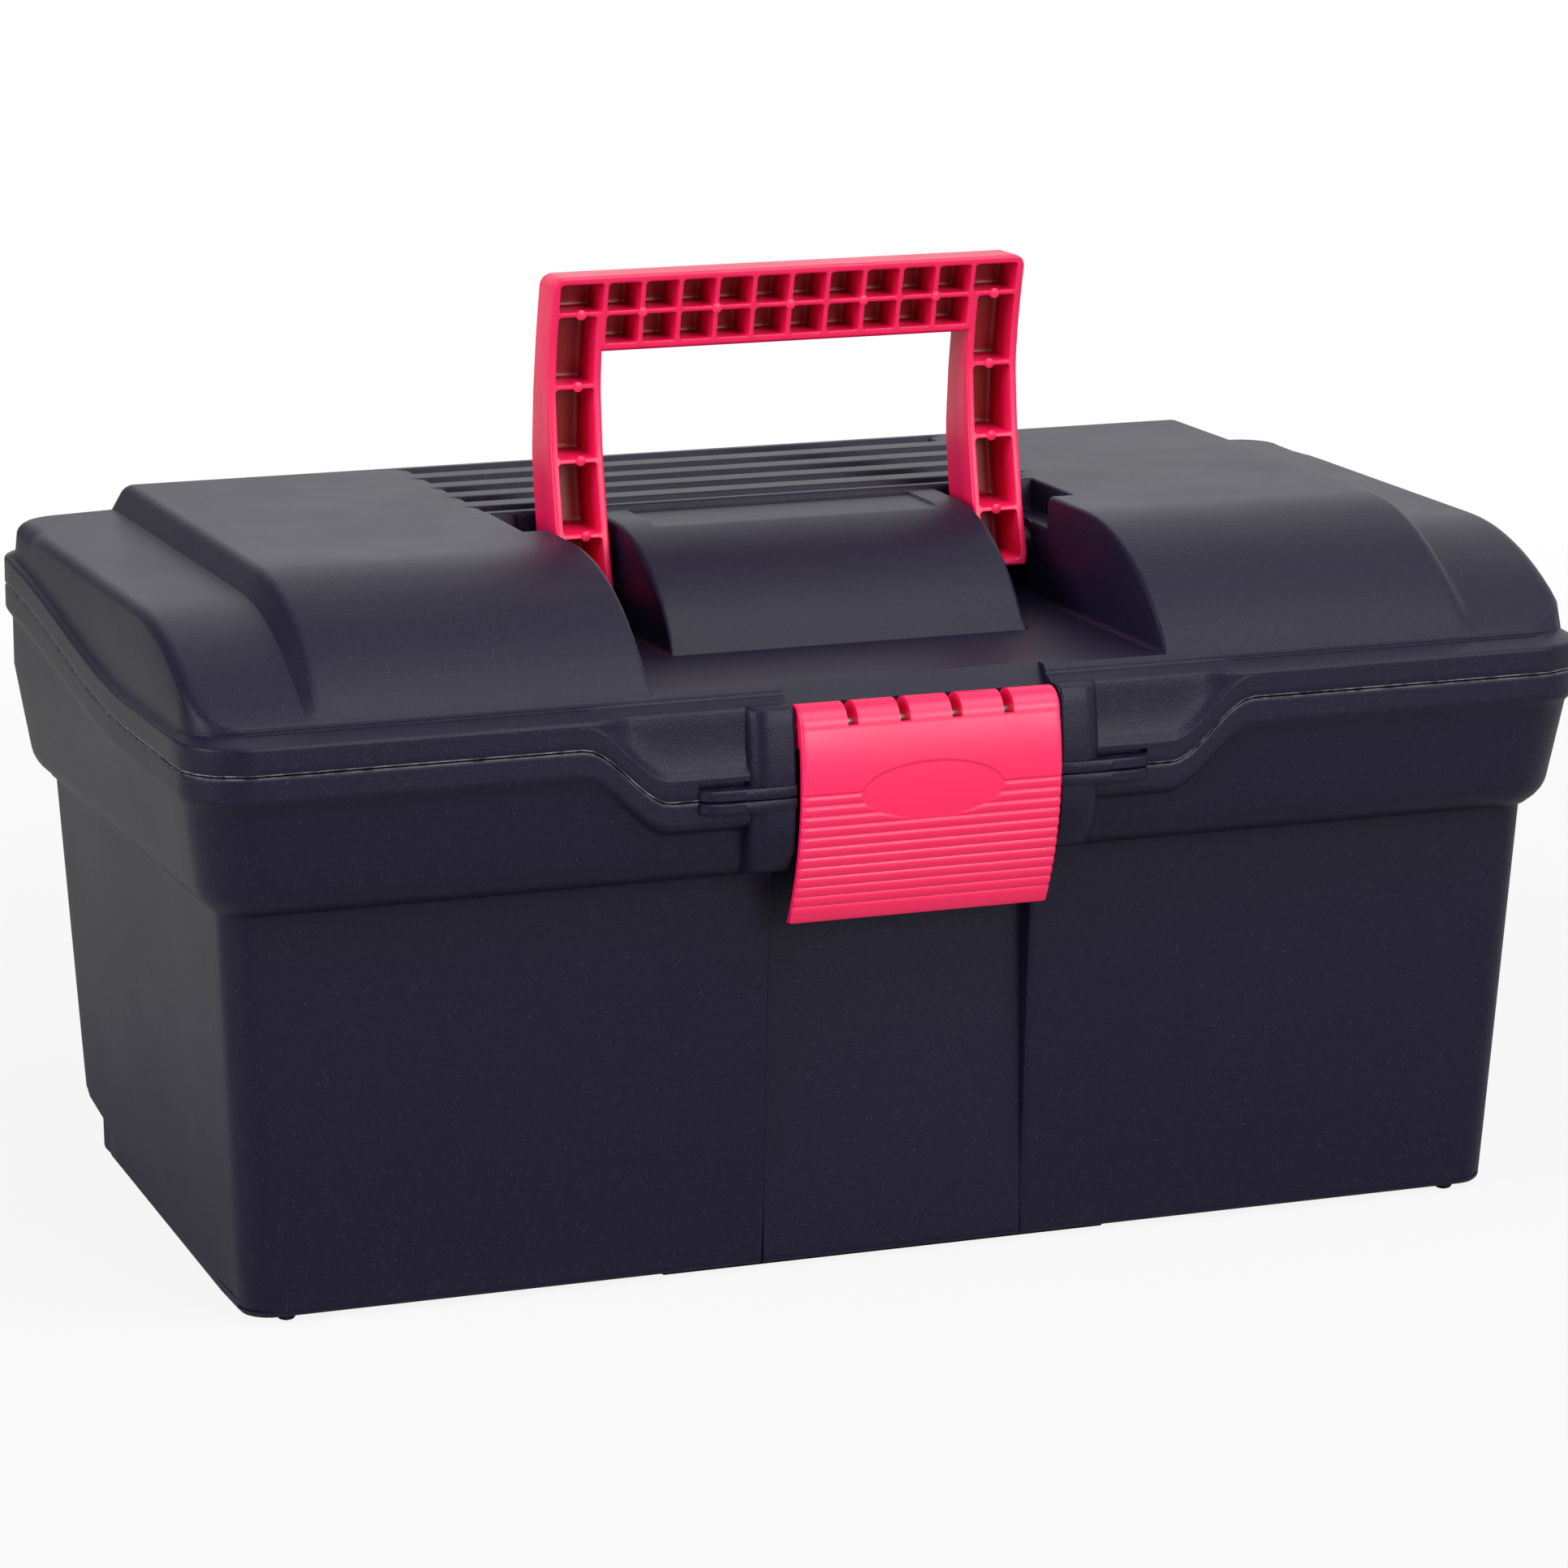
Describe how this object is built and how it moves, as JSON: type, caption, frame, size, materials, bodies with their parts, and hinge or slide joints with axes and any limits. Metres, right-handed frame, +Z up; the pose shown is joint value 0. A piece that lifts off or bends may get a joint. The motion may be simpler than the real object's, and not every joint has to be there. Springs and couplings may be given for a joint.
{
  "type": "horse grooming box",
  "caption": "Moulded horse grooming box: drafted tub, hinged domed lid with a channel for its folding carrying handle, front flip latch and lift-out tray.",
  "frame": {"origin": "middle of the underside of the foot pad that the box stands on", "axes": "+X along the length, to the right seen from the front; -Y towards the front with the latch; +Z up"},
  "size_m": [0.4, 0.2314, 0.2628],
  "materials": {
    "navy_plastic": "moulded polypropylene with a fine grain",
    "pink_plastic": "moulded polypropylene, satin",
    "pin_steel": "drawn steel wire",
    "tray_plastic": "moulded polypropylene with a fine grain"
  },
  "bodies": {
    "tub": {"tub": "navy_plastic", "hinge_pin_left": "pin_steel", "hinge_pin_right": "pin_steel"},
    "lid": {"lid": "navy_plastic", "latch_pin": "pin_steel"},
    "handle": {"handle": "pink_plastic"},
    "latch": {"latch": "pink_plastic"},
    "tray": {"tray": "tray_plastic", "tray_grip": "tray_plastic"}
  },
  "joints": [
    {"name": "lid_hinge", "type": "hinge", "parent": "tub", "child": "lid", "pos_m": [0, 0.1131, 0.1686], "axis": [-1, 0, 0], "range_deg": [0, 105]},
    {"name": "handle_fold", "type": "hinge", "parent": "lid", "child": "handle", "pos_m": [0, -0.002, 0.1795], "axis": [1, 0, 0], "range_deg": [0, 90]},
    {"name": "latch_flip", "type": "hinge", "parent": "lid", "child": "latch", "pos_m": [0, -0.1065, 0.1551], "axis": [-1, 0, 0], "range_deg": [0, 100]},
    {"name": "tray_lift", "type": "slide", "parent": "tub", "child": "tray", "axis": [0, 0, 1], "range_m": [0, 0.018]}
  ]
}
